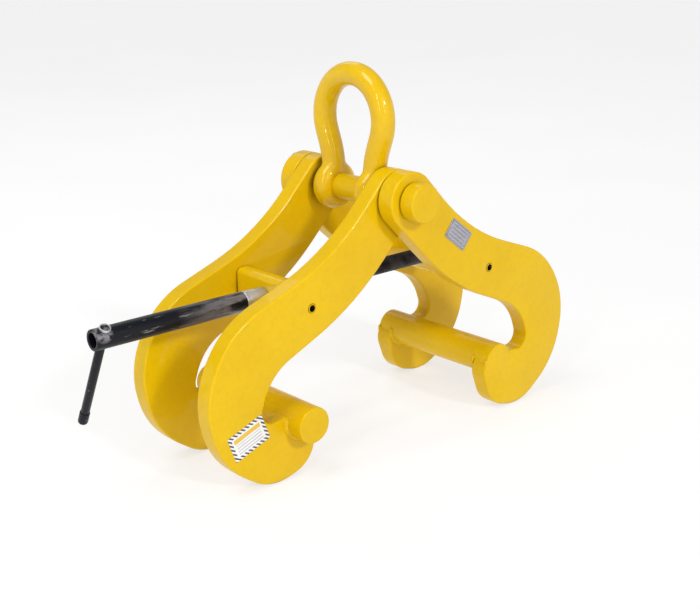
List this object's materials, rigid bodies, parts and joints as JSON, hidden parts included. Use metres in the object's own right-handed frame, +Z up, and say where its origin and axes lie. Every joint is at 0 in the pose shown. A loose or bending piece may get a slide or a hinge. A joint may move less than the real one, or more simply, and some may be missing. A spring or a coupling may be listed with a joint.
{
  "type": "adjustable beam lifting clamp",
  "caption": "Yellow steel lifting clamp: crossed pairs of hooked arms on one pin with a bow shackle, drawn together by a hand-turned spindle to grip a girder flange.",
  "frame": {"origin": "inside crown of the shackle bow, where the crane hook bears", "axes": "+Z up, +X across the clamp from the handle's jaw to the far jaw, Y along the main pin with -Y to the front"},
  "size_m": [0.5151, 0.1933, 0.3612],
  "materials": {
    "paint": "semi-gloss yellow enamel",
    "zinc": "zinc plated",
    "spring_steel": "dark spring steel",
    "bright_steel": "turned bright steel",
    "black_oxide": "black oxide, lightly worn",
    "aluminium": "brushed",
    "label": "satin vinyl"
  },
  "bodies": {
    "left_arms": {"front_inner_plate": "paint", "rear_inner_plate": "paint", "left_jaw_bar": "paint", "main_pin": "paint", "pin_washer": "zinc", "split_pin": "zinc", "left_roll_pins": "paint", "blank_label": "label"},
    "right_arms": {"front_outer_plate": "paint", "rear_outer_plate": "paint", "right_jaw_bar": "paint", "right_roll_pins": "paint", "serial_plate": "aluminium", "plate_rivets": "aluminium"},
    "shackle": {"shackle_bow": "paint"},
    "left_block": {"left_trunnion": "paint"},
    "right_nut": {"right_trunnion": "paint"},
    "spindle": {"spindle": "bright_steel", "handle_tube": "black_oxide", "lock_collar": "bright_steel", "collar_pin": "spring_steel", "end_stop_pin": "spring_steel"},
    "tommy_bar": {"tommy_bar": "black_oxide", "tommy_upper_cap": "bright_steel", "tommy_lower_cap": "black_oxide", "tommy_cap_pin": "spring_steel"}
  },
  "joints": [
    {"name": "arms_pivot", "type": "hinge", "parent": "left_arms", "child": "right_arms", "pos_m": [0, 0, -0.098], "axis": [0, 1, 0], "range_deg": [-5, 36]},
    {"name": "shackle_swing", "type": "hinge", "parent": "left_arms", "child": "shackle", "pos_m": [0, 0, -0.098], "axis": [0, 1, 0], "range_deg": [-60, 85]},
    {"name": "left_block_turn", "type": "hinge", "parent": "left_arms", "child": "left_block", "pos_m": [-0.106, 0, -0.182], "axis": [0, 1, 0], "range_deg": [-2.6, 18.1]},
    {"name": "right_nut_turn", "type": "hinge", "parent": "right_arms", "child": "right_nut", "pos_m": [0.106, 0, -0.182], "axis": [0, 1, 0], "range_deg": [-18.1, 2.6]},
    {"name": "spindle_turn", "type": "hinge", "parent": "left_block", "child": "spindle", "pos_m": [-0.106, 0, -0.182], "axis": [1, 0, 0], "range_deg": [-1570, 11290]},
    {"name": "tommy_slide", "type": "slide", "parent": "spindle", "child": "tommy_bar", "axis": [0, -0.4695, 0.8829], "range_m": [0, 0.08]}
  ],
  "couplings": [
    {"joint": "left_block_turn", "follows": "arms_pivot", "ratio": 0.5},
    {"joint": "right_nut_turn", "follows": "arms_pivot", "ratio": -0.5},
    {"joint": "spindle_turn", "follows": "arms_pivot", "ratio": 313}
  ]
}
